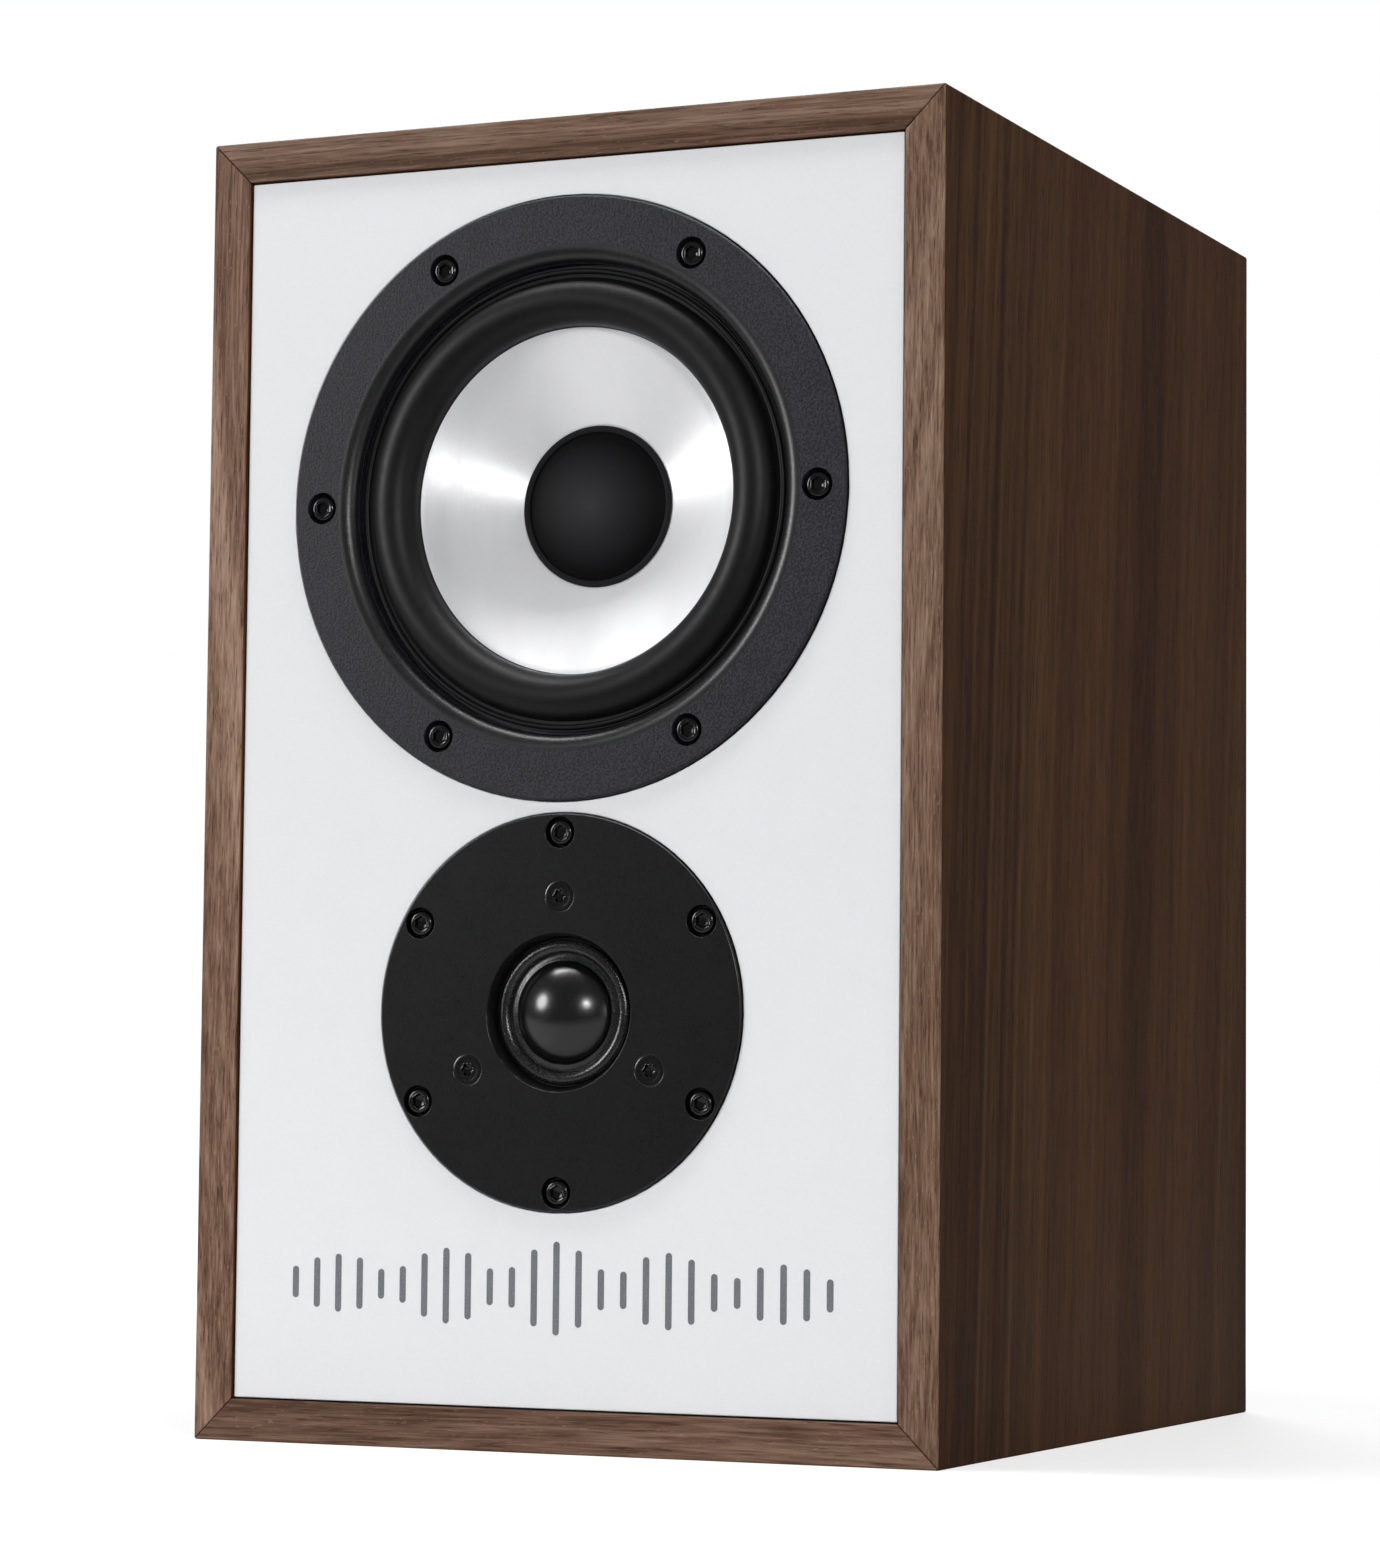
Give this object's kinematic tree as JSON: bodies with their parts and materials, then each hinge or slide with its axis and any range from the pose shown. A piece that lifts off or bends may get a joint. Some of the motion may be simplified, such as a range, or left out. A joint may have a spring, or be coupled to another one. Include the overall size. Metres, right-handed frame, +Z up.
{
  "type": "bookshelf speaker",
  "caption": "Two-way bookshelf loudspeaker: mitred walnut box, white baffle, metal-cone bass driver above a dome tweeter, rear port and screw terminals.",
  "frame": {"origin": "centre of the cabinet's underside, where it rests on a shelf", "axes": "+X to the right seen from the front, +Y towards the back, +Z up"},
  "size_m": [0.22, 0.3009, 0.362],
  "materials": {
    "walnut": "satin lacquered veneer",
    "white_lacquer": "satin lacquer",
    "black_paint": "matt textured paint",
    "plywood": "raw",
    "foam": "open cell foam",
    "powder_coat": "textured powder coat",
    "bead_coat": "satin",
    "gasket": "matt foam",
    "surround_rubber": "satin rubber",
    "cone_metal": "brushed",
    "cap_coat": "satin",
    "former_film": "film",
    "copper_wire": "enamelled",
    "spider_cloth": "treated cloth",
    "steel": "zinc plated",
    "ferrite": "sintered",
    "strip_board": "laminate with tinned tags",
    "black_screw": "black oxide",
    "faceplate_coat": "satin black",
    "dome_coat": "gloss",
    "surround_cloth": "coated cloth",
    "black_plastic": "moulded",
    "red_plastic": "translucent moulded",
    "black_knob_plastic": "moulded",
    "gold_plate": "polished plating",
    "circuit_board": "laminate",
    "capacitor_film": "wrapped film",
    "resistor_ceramic": "ceramic",
    "red_wire": "insulated",
    "black_wire": "insulated"
  },
  "bodies": {
    "cabinet": {"left_side_panel": "walnut", "right_side_panel": "walnut", "top_panel": "walnut", "bottom_panel": "walnut", "front_baffle": "white_lacquer", "rear_panel": "black_paint", "window_brace": "plywood", "left_foam": "foam", "right_foam": "foam", "woofer_frame": "powder_coat", "woofer_gasket": "gasket", "woofer_trim_ring": "bead_coat", "woofer_surround": "surround_rubber", "woofer_spider": "spider_cloth", "woofer_top_plate": "steel", "woofer_magnet": "ferrite", "woofer_pole_piece": "steel", "woofer_motor_screws": "steel", "woofer_terminals": "strip_board", "woofer_tinsel_leads": "copper_wire", "woofer_screws": "black_screw", "tweeter_faceplate": "faceplate_coat", "tweeter_gasket": "gasket", "tweeter_surround": "surround_cloth", "tweeter_mounting_ring": "black_plastic", "tweeter_top_plate": "steel", "tweeter_magnet": "ferrite", "tweeter_pole_piece": "steel", "tweeter_rear_chamber": "black_plastic", "tweeter_terminals": "strip_board", "tweeter_motor_screws": "black_screw", "tweeter_screws": "black_screw", "port_tube": "black_plastic", "terminal_plate": "black_plastic", "terminal_gasket": "gasket", "terminal_screws": "black_screw", "positive_post": "gold_plate", "negative_post": "gold_plate", "positive_insulator": "red_plastic", "negative_insulator": "black_knob_plastic", "post_nuts": "steel", "crossover_board": "circuit_board", "crossover_standoffs": "steel", "bass_inductor": "copper_wire", "treble_inductor": "copper_wire", "crossover_capacitors": "capacitor_film", "crossover_resistor": "resistor_ceramic", "terminal_leads": "red_wire", "woofer_leads": "red_wire", "tweeter_leads": "black_wire"},
    "woofer_cone": {"woofer_cone": "cone_metal", "woofer_dust_cap": "cap_coat", "woofer_former": "former_film", "woofer_voice_coil": "copper_wire"},
    "tweeter_dome": {"tweeter_dome": "dome_coat", "tweeter_voice_coil": "copper_wire"},
    "positive_washer": {"positive_washer": "gold_plate"},
    "positive_knob": {"positive_knob": "red_plastic"},
    "negative_washer": {"negative_washer": "gold_plate"},
    "negative_knob": {"negative_knob": "black_knob_plastic"}
  },
  "joints": [
    {"name": "woofer_cone_stroke", "type": "slide", "parent": "cabinet", "child": "woofer_cone", "axis": [0, 1, 0], "range_m": [-0.005, 0.005], "stiffness_N_per_m": 1200, "deforming": ["woofer_surround", "woofer_spider", "woofer_tinsel_leads"]},
    {"name": "tweeter_dome_stroke", "type": "slide", "parent": "cabinet", "child": "tweeter_dome", "axis": [0, 1, 0], "range_m": [-0.0005, 0.0005], "stiffness_N_per_m": 9600, "deforming": ["tweeter_surround"]},
    {"name": "positive_washer_slide", "type": "slide", "parent": "cabinet", "child": "positive_washer", "axis": [0, 1, 0], "range_m": [0, 0.006]},
    {"name": "positive_knob_turn", "type": "hinge", "parent": "positive_washer", "child": "positive_knob", "pos_m": [0.019, 0.164, 0.095], "axis": [0, 1, 0], "range_deg": [0, 2700]},
    {"name": "negative_washer_slide", "type": "slide", "parent": "cabinet", "child": "negative_washer", "axis": [0, 1, 0], "range_m": [0, 0.006]},
    {"name": "negative_knob_turn", "type": "hinge", "parent": "negative_washer", "child": "negative_knob", "pos_m": [-0.019, 0.164, 0.095], "axis": [0, 1, 0], "range_deg": [0, 2700]}
  ],
  "couplings": [
    {"joint": "positive_knob_turn", "follows": "positive_washer_slide", "rad_per_m": 7854},
    {"joint": "negative_knob_turn", "follows": "negative_washer_slide", "rad_per_m": 7854}
  ]
}
